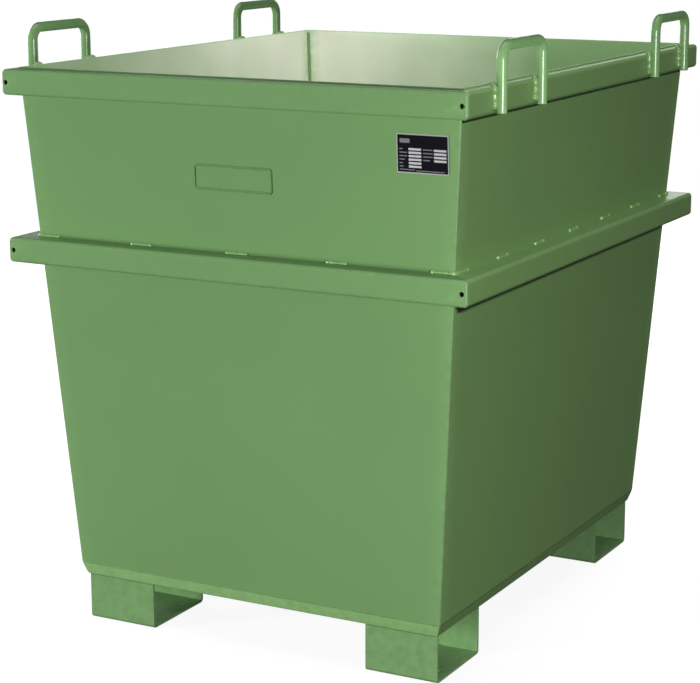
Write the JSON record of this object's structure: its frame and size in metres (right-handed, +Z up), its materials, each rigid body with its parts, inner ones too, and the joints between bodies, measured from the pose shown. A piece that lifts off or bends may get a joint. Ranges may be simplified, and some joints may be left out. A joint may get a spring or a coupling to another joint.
{
  "type": "stackable steel container",
  "caption": "Tapered open-top sheet-steel container with two folded rims, crane eyes on the side rails and channel feet for forklift entry.",
  "frame": {"origin": "centre of the container's footprint, on the floor under the feet", "axes": "+Z up, -Y towards the wall with the data plate, +X to the right when facing that wall"},
  "size_m": [1.04, 1.2, 1.22],
  "materials": {
    "green_paint": "semi-gloss reseda green enamel over sheet steel",
    "weld_paint": "glossy green enamel over weld bead",
    "plate_print": "black printed aluminium with a bare border"
  },
  "bodies": {
    "root": {"front_wall": "green_paint", "rear_wall": "green_paint", "left_wall": "green_paint", "right_wall": "green_paint", "floor_pan": "green_paint", "top_rail_front": "green_paint", "top_rail_rear": "green_paint", "top_rail_left": "green_paint", "top_rail_right": "green_paint", "mid_rail_front": "green_paint", "mid_rail_rear": "green_paint", "mid_rail_left": "green_paint", "mid_rail_right": "green_paint", "lifting_eye_front_left": "green_paint", "lifting_eye_front_right": "green_paint", "lifting_eye_rear_left": "green_paint", "lifting_eye_rear_right": "green_paint", "eye_welds_front_left": "weld_paint", "eye_welds_front_right": "weld_paint", "eye_welds_rear_left": "weld_paint", "eye_welds_rear_right": "weld_paint", "foot_front_left": "green_paint", "foot_front_right": "green_paint", "foot_rear_left": "green_paint", "foot_rear_right": "green_paint", "corner_weld_front_left": "weld_paint", "corner_weld_front_right": "weld_paint", "corner_weld_rear_left": "weld_paint", "corner_weld_rear_right": "weld_paint", "mid_rim_stitch_welds": "weld_paint", "data_plate": "plate_print"}
  },
  "joints": []
}
